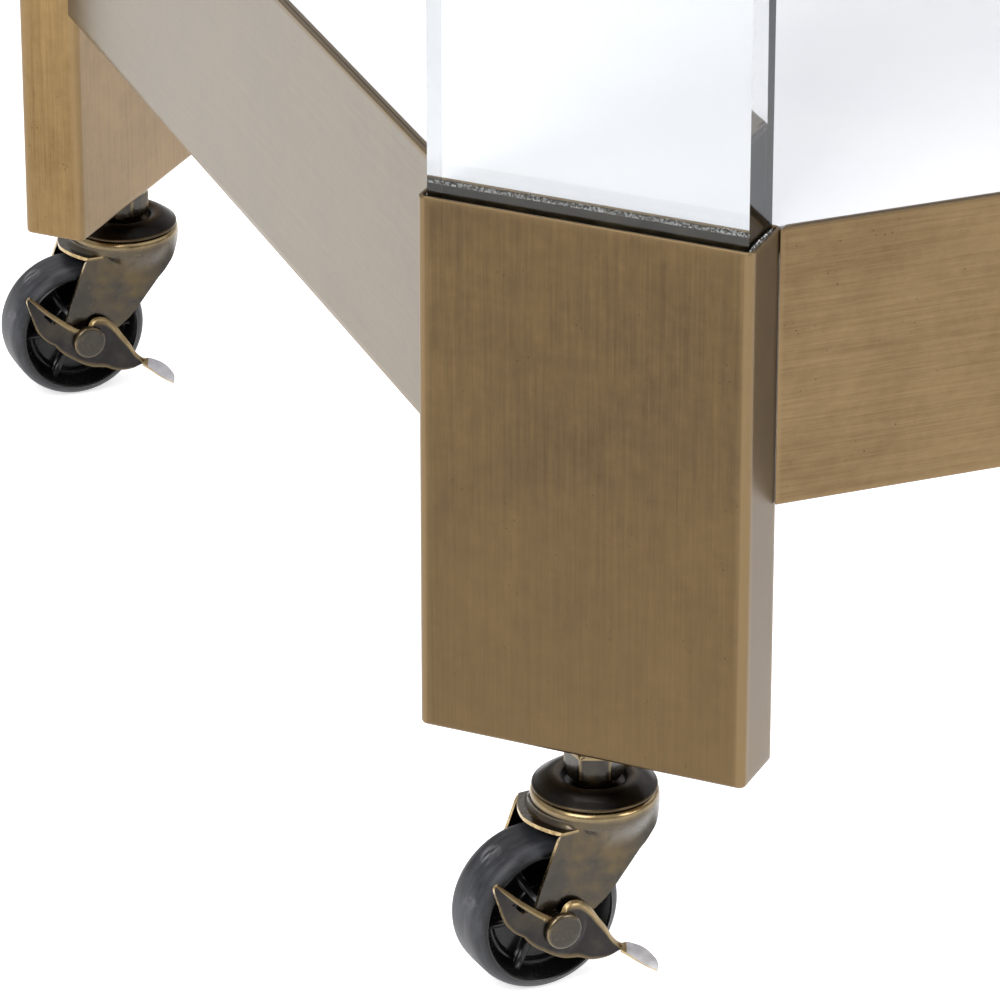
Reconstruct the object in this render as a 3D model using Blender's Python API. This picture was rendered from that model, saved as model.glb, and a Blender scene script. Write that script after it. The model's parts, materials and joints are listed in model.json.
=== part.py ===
"""Bar cart on casters: four clear acrylic corner slabs, brass corner sleeves and rails, two
white glossy shelves, and four braked swivel casters.

Units are metres, +Z is up. The origin is on the floor, under the middle of the cart. +X runs
along the long front side, the front faces -Y.
"""
from math import cos, pi, radians, sin, sqrt

import bmesh
import bpy
from mathutils import Vector

# ---------------------------------------------------------------- driving dimensions
OVERALL_LENGTH = 0.914      # 36 in, over the corner sleeves, along X
OVERALL_DEPTH = 0.558       # 22 in, over the corner sleeves, along Y
OVERALL_HEIGHT = 0.850      # floor to the top of the upper tier

SLEEVE_WIDTH = 0.1074       # the wide face, which stands at 45 degrees across the corner
SLEEVE_DEPTH = 0.0232
SLEEVE_HEIGHT = 0.1761      # lower corner sleeves
SLEEVE_WALL = 0.0013
SLEEVE_RADIUS = 0.0023      # folded vertical corners, outside

RAIL_HEIGHT = 0.0894        # 3.5 in, all rails and the upper corner sleeves
RAIL_THICKNESS = 0.0033
RAIL_OFFSET = 0.0322        # from the line of sleeve centres to a rail's outer face

SLAB_WIDTH = 0.1027         # 4 in acrylic slab leg
SLAB_DEPTH = 0.0178
SLAB_LIFT = 0.0170          # slab's lower end above the sleeve's bottom

SHELF_THICKNESS = 0.006
SHELF_DROP = 0.0005         # shelf's top face below the rails' top edges
LEDGE_WIDTH = 0.012
LEDGE_THICKNESS = 0.003

END_PLATE_THICKNESS = 0.004
WELD_NUT_RADIUS = 0.0085
WELD_NUT_HEIGHT = 0.008

# degrees from +X to the side on which each wheel trails, after rolling the cart to the right
CASTER_HEADINGS = {"front_left": 186.5, "front_right": 183.5, "back_left": 181.7, "back_right": 178.5}
CASTER_HEIGHT = 0.0767      # floor to the sleeve's bottom
WHEEL_RADIUS = 0.0254       # 2 in wheel
WHEEL_WIDTH = 0.021
TRAIL = 0.0207              # axle behind the swivel axis
AXLE_DROP = CASTER_HEIGHT - WHEEL_RADIUS
FORK_WIDTH = 0.0296         # over the two legs
FORK_WALL = 0.0018
FORK_TOP = 0.0200           # top plate below the sleeve's bottom
STEM_RADIUS = 0.0050        # M10 threaded stem
HEX_RADIUS = 0.0095         # across-corners radius of the stem's hexagon
HEX_TURN = 32.5             # degrees, of the hexagon in the caster frame
LEVER_FACE = 0.0177         # outer face of the brake lever's plate along the axle
LEVER_SHEET = 0.0014
AXLE_RADIUS = 0.0040
GAP = 0.0003                # between pieces that touch on the real cart

SIDE_SEGMENTS = 3           # of one rounded sleeve corner
FINE = 24                   # segments of large round pieces
COARSE = 12                 # segments of small round pieces

# ---------------------------------------------------------------- derived dimensions
SLEEVE_REACH = (SLEEVE_WIDTH + SLEEVE_DEPTH) / 2 / sqrt(2)
HALF_X = OVERALL_LENGTH / 2 - SLEEVE_REACH      # sleeve centres
HALF_Y = OVERALL_DEPTH / 2 - SLEEVE_REACH
LOWER_TOP = CASTER_HEIGHT + SLEEVE_HEIGHT       # top edge of the lower rails
CORNERS = {"front_left": (-1, -1), "front_right": (1, -1), "back_left": (-1, 1), "back_right": (1, 1)}


# ---------------------------------------------------------------- materials
def material(name, colour, roughness, metallic=0.0, transmission=0.0):
    """A Principled material with one colour."""
    made = bpy.data.materials.new(name)
    made.use_nodes = True
    shader = made.node_tree.nodes["Principled BSDF"]
    shader.inputs["Base Color"].default_value = (*colour, 1.0)
    shader.inputs["Roughness"].default_value = roughness
    shader.inputs["Metallic"].default_value = metallic
    shader.inputs["Transmission Weight"].default_value = transmission
    return made


# ---------------------------------------------------------------- mesh tools
def mesh_from(bm, name):
    """Write a bmesh to a new mesh, with flat ends and smooth round sides."""
    bmesh.ops.recalc_face_normals(bm, faces=bm.faces)
    mesh = bpy.data.meshes.new(name)
    bm.to_mesh(mesh)
    bm.free()
    mesh.shade_smooth()
    mesh.set_sharp_from_angle(angle=radians(35))
    return mesh


def prism(name, outline, low, high, axis="Z"):
    """Extrude a flat outline from low to high along Z, or along Y from an outline in X and Z."""
    place = (lambda p, h: (p[0], p[1], h)) if axis == "Z" else (lambda p, h: (p[0], h, p[1]))
    bm = bmesh.new()
    face = bm.faces.new([bm.verts.new(place(p, low)) for p in outline])
    extruded = bmesh.ops.extrude_face_region(bm, geom=[face], use_keep_orig=True)
    moved = [v for v in extruded["geom"] if isinstance(v, bmesh.types.BMVert)]
    shift = Vector(place((0.0, 0.0), high - low))
    bmesh.ops.translate(bm, verts=moved, vec=shift)
    return mesh_from(bm, name)


def turned(name, profile, segments, axis="Z"):
    """Turn a closed profile of (radius, height) points once round the axis Z or Y."""
    bm = bmesh.new()
    if axis == "Z":
        points = [(r, 0.0, h) for r, h in profile]
        direction = (0, 0, 1)
    else:
        points = [(r, h, 0.0) for r, h in profile]
        direction = (0, 1, 0)
    verts = [bm.verts.new(p) for p in points]
    edges = [bm.edges.new((a, b)) for a, b in zip(verts, verts[1:] + verts[:1])]
    bmesh.ops.spin(bm, geom=edges, cent=(0, 0, 0), axis=direction, angle=2 * pi,
                   steps=segments, use_merge=True)
    bmesh.ops.remove_doubles(bm, verts=bm.verts, dist=1e-6)
    loose = [e for e in bm.edges if not e.link_faces]
    bmesh.ops.delete(bm, geom=loose, context="EDGES")
    return mesh_from(bm, name)


def combine(base, tool, operation):
    """Return the mesh of base with tool added to it or cut from it."""
    target = bpy.data.objects.new("target", base)
    other = bpy.data.objects.new("tool", tool)
    for obj in (target, other):
        bpy.context.scene.collection.objects.link(obj)
    boolean = target.modifiers.new("boolean", "BOOLEAN")
    boolean.object = other
    boolean.operation = operation
    boolean.solver = "EXACT"
    depsgraph = bpy.context.evaluated_depsgraph_get()
    depsgraph.update()
    result = bpy.data.meshes.new_from_object(target.evaluated_get(depsgraph))
    result.name = base.name
    for obj in (target, other):
        bpy.data.objects.remove(obj, do_unlink=True)
    return result


def arc(centre, radius, start, end, steps):
    """Points of an arc, from start to end degrees."""
    angles = [radians(start + (end - start) * i / steps) for i in range(steps + 1)]
    return [(centre[0] + radius * cos(a), centre[1] + radius * sin(a)) for a in angles]


def rounded_rectangle(width, depth, radius):
    """Outline of a rectangle with round corners, centred on the origin."""
    x = width / 2 - radius
    y = depth / 2 - radius
    centres = [(x, y, 0), (-x, y, 90), (-x, -y, 180), (x, -y, 270)]
    return [p for cx, cy, a in centres for p in arc((cx, cy), radius, a, a + 90, SIDE_SEGMENTS)]


def circle(radius, segments, centre=(0.0, 0.0)):
    """Outline of a full circle."""
    return arc(centre, radius, 0, 360 - 360 / segments, segments - 1)


def place(name, mesh, finish, parent=None, location=(0, 0, 0), turn=0.0):
    """Put one named piece in the scene, turned about Z by degrees."""
    obj = bpy.data.objects.new(name, mesh)
    bpy.context.scene.collection.objects.link(obj)
    obj.location = location
    obj.rotation_euler = (0, 0, radians(turn))
    obj.parent = parent
    if not mesh.materials:
        mesh.materials.append(finish)
    return obj


# ---------------------------------------------------------------- corner sleeves and slabs
def lower_sleeve_mesh():
    """Folded rectangular sleeve, open at the top, with a hole for the caster's stem."""
    outer = prism("lower_sleeve", rounded_rectangle(SLEEVE_WIDTH, SLEEVE_DEPTH, SLEEVE_RADIUS),
                  0.0, SLEEVE_HEIGHT)
    pocket = sleeve_pocket(SLEEVE_WALL, SLEEVE_HEIGHT + 0.01)
    hole = prism("hole", circle(STEM_RADIUS + GAP, COARSE), -0.01, 0.01)
    return combine(combine(outer, pocket, "DIFFERENCE"), hole, "DIFFERENCE")


def sleeve_pocket(low, high):
    """The hollow inside a sleeve."""
    inner = rounded_rectangle(SLEEVE_WIDTH - 2 * SLEEVE_WALL, SLEEVE_DEPTH - 2 * SLEEVE_WALL,
                              SLEEVE_RADIUS - SLEEVE_WALL)
    return prism("pocket", inner, low, high)


def upper_sleeve_mesh():
    """Sleeve of the upper tier, closed at the top and open below."""
    outer = prism("upper_sleeve", rounded_rectangle(SLEEVE_WIDTH, SLEEVE_DEPTH, SLEEVE_RADIUS),
                  0.0, RAIL_HEIGHT)
    return combine(outer, sleeve_pocket(-0.01, RAIL_HEIGHT - SLEEVE_WALL), "DIFFERENCE")


def slab_mesh():
    """Clear slab leg, from inside the lower sleeve to inside the upper one."""
    high = OVERALL_HEIGHT - SLEEVE_WALL - GAP - CASTER_HEIGHT
    outline = [(sx * SLAB_WIDTH / 2, sy * SLAB_DEPTH / 2) for sx, sy in ((1, 1), (-1, 1), (-1, -1), (1, -1))]
    return prism("slab", outline, SLAB_LIFT, high)


def end_plate_mesh():
    """Plate inside the sleeve's bottom, with the weld nut that holds the caster's stem."""
    inset = 2 * (SLEEVE_WALL + GAP)
    low = SLEEVE_WALL + GAP
    outline = rounded_rectangle(SLEEVE_WIDTH - inset, SLEEVE_DEPTH - inset, SLEEVE_RADIUS - SLEEVE_WALL)
    plate = prism("end_plate", outline, low, low + END_PLATE_THICKNESS)
    nut = prism("nut", circle(WELD_NUT_RADIUS, 6), low + END_PLATE_THICKNESS / 2,
                low + END_PLATE_THICKNESS + WELD_NUT_HEIGHT)
    hole = prism("hole", circle(STEM_RADIUS + GAP, COARSE), -0.01, 0.03)
    return combine(combine(plate, nut, "UNION"), hole, "DIFFERENCE")


def build_corners(brass, steel, acrylic):
    """Lower and upper sleeve, slab leg and end plate at each corner."""
    lower = lower_sleeve_mesh()
    upper = upper_sleeve_mesh()
    slab = slab_mesh()
    end_plate = end_plate_mesh()
    for corner, (sx, sy) in CORNERS.items():
        x, y = sx * HALF_X, sy * HALF_Y
        turn = corner_turn(sx, sy)
        base = (x, y, CASTER_HEIGHT)
        place(f"lower_sleeve_{corner}", lower, brass, location=base, turn=turn)
        upper_place = (x, y, OVERALL_HEIGHT - RAIL_HEIGHT)
        place(f"upper_sleeve_{corner}", upper, brass, location=upper_place, turn=turn)
        place(f"acrylic_leg_{corner}", slab, acrylic, location=base, turn=turn)
        place(f"end_plate_{corner}", end_plate, steel, location=base, turn=turn)


def corner_turn(sx, sy):
    """Angle of a sleeve's wide face, across the diagonal of its corner."""
    return -45.0 * sx * sy


# ---------------------------------------------------------------- rails, shelves and ledges
def rail_outline(half_length):
    """Plan of a rail along X with both ends mitred against the sleeves' narrow faces."""
    reach = sqrt(2) * (SLEEVE_WIDTH / 2 + GAP)
    outer = half_length - reach + RAIL_OFFSET
    inner = outer - RAIL_THICKNESS
    return [(-outer, -RAIL_OFFSET), (outer, -RAIL_OFFSET),
            (inner, RAIL_THICKNESS - RAIL_OFFSET), (-inner, RAIL_THICKNESS - RAIL_OFFSET)]


def shelf_outline():
    """Rectangle inside the rails, with its corners cut along the sleeves' inner faces."""
    x = HALF_X + RAIL_OFFSET - RAIL_THICKNESS - GAP
    y = HALF_Y + RAIL_OFFSET - RAIL_THICKNESS - GAP
    diagonal = HALF_X + HALF_Y - sqrt(2) * (SLEEVE_DEPTH / 2 + GAP)
    quarter = [(x, diagonal - x), (diagonal - y, y)]
    return (quarter + [(-px, py) for px, py in reversed(quarter)]
            + [(-px, -py) for px, py in quarter] + [(px, -py) for px, py in reversed(quarter)])


def build_tier(tier, top, brass, steel, white):
    """Four rails, the shelf between them and the two ledges that carry it."""
    long_rail = prism(f"{tier}_long_rail", rail_outline(HALF_X), top - RAIL_HEIGHT, top)
    short_rail = prism(f"{tier}_short_rail", rail_outline(HALF_Y), top - RAIL_HEIGHT, top)
    place(f"{tier}_rail_front", long_rail, brass, location=(0, -HALF_Y, 0))
    place(f"{tier}_rail_back", long_rail, brass, location=(0, HALF_Y, 0), turn=180)
    place(f"{tier}_rail_left", short_rail, brass, location=(-HALF_X, 0, 0), turn=-90)
    place(f"{tier}_rail_right", short_rail, brass, location=(HALF_X, 0, 0), turn=90)
    shelf_top = top - SHELF_DROP
    shelf = prism(f"{tier}_shelf", shelf_outline(), shelf_top - SHELF_THICKNESS, shelf_top)
    place(f"{tier}_shelf", shelf, white)
    ledge_top = shelf_top - SHELF_THICKNESS - GAP
    ledge_y = HALF_Y + RAIL_OFFSET - RAIL_THICKNESS - GAP
    ledge_x = HALF_X - SLEEVE_REACH
    outline = [(-ledge_x, -ledge_y), (ledge_x, -ledge_y),
               (ledge_x, LEDGE_WIDTH - ledge_y), (-ledge_x, LEDGE_WIDTH - ledge_y)]
    ledge = prism(f"{tier}_ledge", outline, ledge_top - LEDGE_THICKNESS, ledge_top)
    place(f"{tier}_ledge_front", ledge, steel)
    place(f"{tier}_ledge_back", ledge, steel, turn=180)


# ---------------------------------------------------------------- caster pieces
# Caster frame: origin on the swivel axis at the sleeve's bottom, +X trails, +Y is the axle's
# braked side, +Z up.
def stem_mesh():
    """Threaded stem, hexagon, collar and the riveted lower end, in one piece."""
    shank = turned("stem", [(0, 0.0148), (STEM_RADIUS - 0.0008, 0.0148), (STEM_RADIUS, 0.0140),
                            (STEM_RADIUS, -0.0222), (0.0070, -0.0222), (0.0064, -0.0236),
                            (0, -0.0240)], COARSE)
    collar = prism("collar", circle(0.0066, COARSE), -0.0129, -0.0080)
    hexagon = prism("hexagon", arc((0, 0), HEX_RADIUS, HEX_TURN, HEX_TURN + 300, 5), -0.0108, -GAP)
    return combine(combine(shank, collar, "UNION"), hexagon, "UNION")


def bearing_cover_mesh():
    """Domed cover over the swivel bearing, with a recess round the hexagon."""
    hole = STEM_RADIUS + GAP
    top = [(hole, -0.0132), (0.0096, -0.0132), (0.0103, -0.0113), (0.0125, -0.0106),
           (0.0165, -0.0117), (0.0193, -0.0140), (0.0193, -0.0148)]
    under = [(0.0178, -0.0148), (0.0150, -0.0131), (0.0118, -0.0128), (0.0104, -0.0147), (hole, -0.0147)]
    return turned("bearing_cover", top + under, FINE)


def ball_ring_mesh():
    """Ring of bearing balls, joined by their cage, under the cover."""
    track = 0.0144
    ring = turned("ball_ring", [(track - 0.0018, -0.0166), (track + 0.0018, -0.0166),
                                (track + 0.0018, -0.0178), (track - 0.0018, -0.0178)], COARSE)
    for x, y in circle(track, 6):
        bm = bmesh.new()
        bmesh.ops.create_uvsphere(bm, u_segments=6, v_segments=4, radius=0.0020)
        bmesh.ops.translate(bm, verts=bm.verts, vec=(x, y, -0.0172))
        ring = combine(ring, mesh_from(bm, "ball"), "UNION")
    return ring


def fork_side_outline():
    """Side view of the fork in X and Z: raked legs that end round the axle."""
    eye = arc((TRAIL, -AXLE_DROP), 0.0088, 15, -150, 8)
    front = [(0.0075, -0.0488), (0.0035, -0.0460), (-0.0133, -0.0250), (-0.0133, -FORK_TOP)]
    return [(0.0195, -FORK_TOP), (0.0266, -0.0395)] + eye + front


def fork_mesh():
    """Pressed fork: two raked legs under a top plate with a round bearing cup."""
    half = FORK_WIDTH / 2
    inner = half - FORK_WALL
    under = -FORK_TOP - FORK_WALL
    body = prism("fork", fork_side_outline(), -half, half, axis="Y")
    slot = [(-0.04, -0.08), (0.06, -0.08), (0.06, under), (-0.04, under)]
    body = combine(body, prism("slot", slot, -inner, inner, axis="Y"), "DIFFERENCE")
    hood = arc((-0.0010, 0), 0.0250, -35, 35, 6) + [(0.0100, 0.0140), (0.0100, -0.0140)]
    body = combine(body, prism("hood", hood, under + 0.0001, -FORK_TOP - 0.0001), "UNION")
    cup = turned("cup", [(0.0, -0.0219), (0.0, -0.0205), (0.0160, -0.0205), (0.0176, -0.0190),
                         (0.0178, -0.0151), (0.0193, -0.0151), (0.0194, -0.0196), (0.0182, -0.0222),
                         (0.0156, -0.0238), (0.0130, -0.0219)], FINE)
    body = combine(body, cup, "UNION")
    hollow = turned("hollow", [(0.0, -0.0202), (0.0, -0.0100), (0.0176, -0.0100), (0.0176, -0.0190),
                               (0.0165, -0.0202)], FINE)
    body = combine(body, hollow, "DIFFERENCE")
    hole = prism("hole", circle(STEM_RADIUS + GAP, COARSE), -0.03, 0.0)
    body = combine(body, hole, "DIFFERENCE")
    bore = prism("bore", circle(AXLE_RADIUS + GAP, COARSE, (TRAIL, -AXLE_DROP)), -0.02, 0.02, axis="Y")
    return combine(body, bore, "DIFFERENCE")


def wheel_mesh():
    """Moulded wheel about Y: crowned tread, recessed sides, hub and ribs."""
    half = WHEEL_WIDTH / 2
    side = [(WHEEL_RADIUS, 0.0057), (WHEEL_RADIUS - 0.0012, half - 0.0003),
            (WHEEL_RADIUS - 0.0022, half), (0.0208, half),
            (0.0182, 0.0042), (0.0092, 0.0036), (0.0080, 0.0125), (AXLE_RADIUS / 2, 0.0125)]
    profile = side + [(r, -y) for r, y in reversed(side)]
    wheel = turned("wheel", profile, FINE, axis="Y")
    for i in range(3):
        angle = radians(60 * i)
        across = Vector((-sin(angle), cos(angle))) * 0.0012
        along = Vector((cos(angle), sin(angle))) * 0.0194
        bar = [along + across, -along + across, -along - across, along - across]
        web = prism("web", [tuple(p) for p in bar], -0.0080, 0.0080, axis="Y")
        wheel = combine(wheel, web, "UNION")
    bore = prism("bore", circle(AXLE_RADIUS + GAP, COARSE), -0.02, 0.02, axis="Y")
    return combine(wheel, bore, "DIFFERENCE")


def axle_mesh():
    """Riveted axle about Y, with a shoulder under the brake lever and a domed head over it."""
    leg = FORK_WIDTH / 2 + GAP
    head = LEVER_FACE + GAP
    profile = [(0.0, head + 0.0030), (0.0032, head + 0.0027), (0.0049, head + 0.0016), (0.0054, head),
               (AXLE_RADIUS, head), (AXLE_RADIUS, LEVER_FACE - LEVER_SHEET - GAP),
               (0.0047, LEVER_FACE - LEVER_SHEET - GAP), (0.0047, leg), (AXLE_RADIUS, leg),
               (AXLE_RADIUS, -leg), (0.0054, -leg), (0.0050, -leg - 0.0012), (0.0032, -leg - 0.0018),
               (0.0, -leg - 0.0020)]
    return turned("axle", profile, COARSE, axis="Y")


def lever_mesh():
    """Pressed brake lever: a side plate on the axle with a folded top edge and a foot tab.

    Points are in X and Z from the axle. The plate's outer face is at LEVER_FACE along Y.
    """
    top_edge = [(0.0224, 0.0227), (0.0164, 0.0163), (0.0096, 0.0105), (0.0044, 0.0068),
                (0.0015, 0.0060), (-0.0011, 0.0083), (-0.0036, 0.0097), (-0.0071, 0.0080),
                (-0.0112, 0.0028), (-0.0159, -0.0048)]
    lower_edge = [(-0.0192, -0.0112), (-0.0159, -0.0136), (-0.0125, -0.0136), (-0.0055, -0.0112),
                  (0.0014, -0.0091), (0.0061, -0.0067), (0.0107, -0.0020), (0.0130, 0.0009),
                  (0.0147, 0.0017), (0.0187, 0.0059), (0.0218, 0.0125), (0.0230, 0.0191)]
    back = LEVER_FACE - LEVER_SHEET
    lever = prism("brake_lever", top_edge + lower_edge, back, LEVER_FACE, axis="Y")
    folded = [(0.0214, 0.0211), (0.0161, 0.0158), (0.0093, 0.0100), (0.0050, 0.0069)]
    strip = folded + [(x - 0.0006, z - 0.0011) for x, z in reversed(folded)]
    lever = combine(lever, prism("fold", strip, back - 0.0009, back + 0.0005, axis="Y"), "UNION")
    lever = combine(lever, foot_tab(), "UNION")
    slot = [(0.0158, 0.0133), (0.0147, 0.0107), (0.0121, 0.0091), (0.0110, 0.0106)]
    lever = combine(lever, prism("slot", slot, 0.0, 0.03, axis="Y"), "DIFFERENCE")
    bore = prism("bore", circle(AXLE_RADIUS + GAP, COARSE), 0.0, 0.03, axis="Y")
    return combine(lever, bore, "DIFFERENCE")


def foot_tab():
    """Tab that leaves the plate's leading edge and twists until its outer face looks up.

    Each section is a line across the sheet from its upper to its lower edge, with the outer
    face's normal. The first section lies inside the plate.
    """
    root_y = LEVER_FACE - LEVER_SHEET / 2
    root = (Vector((-0.0136, root_y, -0.0040)), Vector((-0.0174, root_y, -0.0106)), Vector((0, 1, 0)))
    tip = (Vector((-0.0278, root_y, -0.0117)), Vector((-0.0278, root_y + 0.0109, -0.0139)),
           Vector((-0.25, 0.19, 0.95)))
    bm = bmesh.new()
    rings = []
    for share in (0.0, 0.35, 0.7, 1.0):
        upper, lower, normal = (a.lerp(b, share) for a, b in zip(root, tip))
        half = normal.normalized() * LEVER_SHEET * 0.35
        rings.append([bm.verts.new(p) for p in (upper + half, lower + half, lower - half, upper - half)])
    for ring, after in zip(rings, rings[1:]):
        for i, j in ((0, 1), (3, 2)):
            bm.faces.new((ring[i], ring[j], after[j]))
            bm.faces.new((ring[i], after[j], after[i]))
        for i, j in ((1, 2), (0, 3)):
            bm.faces.new((ring[i], ring[j], after[j]))
            bm.faces.new((ring[i], after[j], after[i]))
    bm.faces.new(rings[0])
    bm.faces.new(rings[-1])
    return mesh_from(bm, "foot_tab")


def build_casters(bronze, plastic):
    """Four alike casters, each swivelled to its own heading."""
    meshes = {"stem": stem_mesh(), "bearing_cover": bearing_cover_mesh(), "ball_ring": ball_ring_mesh(),
              "fork": fork_mesh(), "axle": axle_mesh(), "wheel": wheel_mesh(), "brake_lever": lever_mesh()}
    on_axle = {"axle", "wheel", "brake_lever"}
    for corner, (sx, sy) in CORNERS.items():
        pivot = bpy.data.objects.new(f"caster_{corner}", None)
        bpy.context.scene.collection.objects.link(pivot)
        pivot.location = (sx * HALF_X, sy * HALF_Y, CASTER_HEIGHT)
        pivot.rotation_euler = (0, 0, radians(CASTER_HEADINGS[corner]))
        for piece, mesh in meshes.items():
            local = (TRAIL, 0, -AXLE_DROP) if piece in on_axle else (0, 0, 0)
            finish = plastic if piece == "wheel" else bronze
            place(f"{piece}_{corner}", mesh, finish, parent=pivot, location=local)


def main():
    for obj in list(bpy.data.objects):
        bpy.data.objects.remove(obj, do_unlink=True)
    brass = material("antique_brass", (0.30, 0.20, 0.10), 0.38, metallic=1.0)
    bronze = material("dark_bronze", (0.13, 0.10, 0.06), 0.32, metallic=1.0)
    steel = material("plain_steel", (0.35, 0.35, 0.36), 0.45, metallic=1.0)
    plastic = material("black_plastic", (0.015, 0.015, 0.017), 0.40)
    acrylic = material("clear_acrylic", (0.97, 0.98, 0.98), 0.02, transmission=1.0)
    white = material("white_glass", (0.90, 0.90, 0.92), 0.06)
    build_corners(brass, steel, acrylic)
    build_tier("lower", LOWER_TOP, brass, steel, white)
    build_tier("upper", OVERALL_HEIGHT, brass, steel, white)
    build_casters(bronze, plastic)


main()
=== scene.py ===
"""Looks of the bar cart: brushed antique brass sleeves and rails, white glossy shelves, clear
acrylic slab legs, and four braked swivel casters.

Units are metres and +Z is up. The forks and brake levers are grids with a Solidify modifier, whose
rim takes the rubbed brass of a cut edge. The other new pieces are closed meshes. The mesh attribute for
rubbing is 1 where a piece is rubbed, and also where a highlight is painted on it. Tables in mm are marked
so and are scaled by MM.
"""
import json
from math import cos, pi, radians, sin, sqrt, tan

import bmesh
import bpy
from mathutils import Matrix, Vector, noise


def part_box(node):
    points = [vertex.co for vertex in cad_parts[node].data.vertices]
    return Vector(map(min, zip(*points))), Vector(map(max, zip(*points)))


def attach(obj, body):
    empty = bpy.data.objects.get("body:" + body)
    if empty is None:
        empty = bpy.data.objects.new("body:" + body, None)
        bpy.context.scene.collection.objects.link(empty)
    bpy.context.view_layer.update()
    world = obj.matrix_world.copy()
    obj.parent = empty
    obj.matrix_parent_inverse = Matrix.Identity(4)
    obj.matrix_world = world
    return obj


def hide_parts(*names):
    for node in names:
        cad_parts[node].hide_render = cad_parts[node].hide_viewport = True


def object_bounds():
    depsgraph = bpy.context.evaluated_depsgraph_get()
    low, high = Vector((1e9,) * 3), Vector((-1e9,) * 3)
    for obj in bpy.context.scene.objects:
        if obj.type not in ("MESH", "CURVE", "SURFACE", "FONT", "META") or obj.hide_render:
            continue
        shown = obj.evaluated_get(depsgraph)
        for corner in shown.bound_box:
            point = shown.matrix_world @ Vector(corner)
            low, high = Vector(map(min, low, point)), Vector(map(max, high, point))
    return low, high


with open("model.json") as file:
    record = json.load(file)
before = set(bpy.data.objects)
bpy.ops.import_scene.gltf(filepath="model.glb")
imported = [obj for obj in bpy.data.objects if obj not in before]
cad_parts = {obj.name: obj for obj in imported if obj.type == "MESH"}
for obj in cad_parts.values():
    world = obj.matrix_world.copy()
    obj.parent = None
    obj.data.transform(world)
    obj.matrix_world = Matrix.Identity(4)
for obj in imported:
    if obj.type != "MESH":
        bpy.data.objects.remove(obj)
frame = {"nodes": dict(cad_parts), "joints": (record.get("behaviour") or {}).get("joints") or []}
cad_low, cad_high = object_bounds()

CORNERS = ("front_left", "front_right", "back_left", "back_right")
TIERS = ("lower", "upper")
SIDES = ("front", "back", "left", "right")
FRAME_BODY = "cart_frame"
MM = 0.001


# ---------------------------------------------------------------- colours and node trees
def srgb(red, green, blue):
    """A colour written as a screen shows it, 0 to 255, as the linear colour that shaders take."""
    def linear(value):
        share = value / 255
        return share / 12.92 if share <= 0.04045 else ((share + 0.055) / 1.055) ** 2.4
    return (linear(red), linear(green), linear(blue), 1.0)


class Tree:
    """Short calls for building one material's nodes."""

    def __init__(self, name, **sockets):
        self.material = bpy.data.materials.new(name)
        self.material.use_nodes = True
        self.nodes = self.material.node_tree.nodes
        self.links = self.material.node_tree.links
        self.shader = self.nodes["Principled BSDF"]
        for socket, value in sockets.items():
            self.shader.inputs[socket.replace("_", " ")].default_value = value

    def node(self, kind, inputs=(), **settings):
        """A node with settings, whose inputs are values or other nodes' outputs."""
        made = self.nodes.new(kind)
        for key, value in settings.items():
            setattr(made, key, value)
        for key, value in dict(inputs).items():
            if isinstance(value, bpy.types.NodeSocket):
                self.links.new(value, made.inputs[key])
            else:
                made.inputs[key].default_value = value
        return made

    def to_shader(self, socket, output):
        self.links.new(output, self.shader.inputs[socket])

    def place(self, scale=(1, 1, 1)):
        """Object coordinates, which stay with the piece when it moves, times a scale."""
        coordinates = self.node("ShaderNodeTexCoord").outputs["Object"]
        return self.node("ShaderNodeMapping", {"Vector": coordinates, "Scale": scale}).outputs[0]

    def noise(self, scale, place=None, detail=3.0, roughness=0.55):
        inputs = {"Vector": place or self.place(), "Scale": scale, "Detail": detail,
                  "Roughness": roughness}
        return self.node("ShaderNodeTexNoise", inputs).outputs["Fac"]

    def ramp(self, factor, *stops):
        """A colour ramp through (position, colour) stops."""
        made = self.node("ShaderNodeValToRGB", {"Fac": factor})
        points = made.color_ramp.elements
        points[0].position, points[0].color = stops[0]
        points[1].position, points[1].color = stops[-1]
        for position, colour in stops[1:-1]:
            points.new(position).color = colour
        return made.outputs["Color"]

    def spread(self, factor, low, high, to_low=0.0, to_high=1.0):
        """Map factor from low..high to to_low..to_high, clamped."""
        inputs = {"Value": factor, "From Min": low, "From Max": high, "To Min": to_low, "To Max": to_high}
        return self.node("ShaderNodeMapRange", inputs).outputs["Result"]

    def maths(self, operation, first, second=0.0):
        return self.node("ShaderNodeMath", {0: first, 1: second}, operation=operation).outputs[0]

    def mix(self, factor, first, second, blend="MIX"):
        made = self.node("ShaderNodeMix", data_type="RGBA", blend_type=blend)
        for key, value in ((0, factor), (6, first), (7, second)):
            if isinstance(value, bpy.types.NodeSocket):
                self.links.new(value, made.inputs[key])
            else:
                made.inputs[key].default_value = value
        return made.outputs[2]

    def bump(self, height, distance, strength=1.0, normal=None):
        inputs = {"Height": height, "Distance": distance, "Strength": strength}
        if normal:
            inputs["Normal"] = normal
        return self.node("ShaderNodeBump", inputs).outputs["Normal"]

    def wear_and_highlight(self):
        return self.node("ShaderNodeAttribute", attribute_name="wear_and_highlight").outputs["Fac"]


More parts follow.
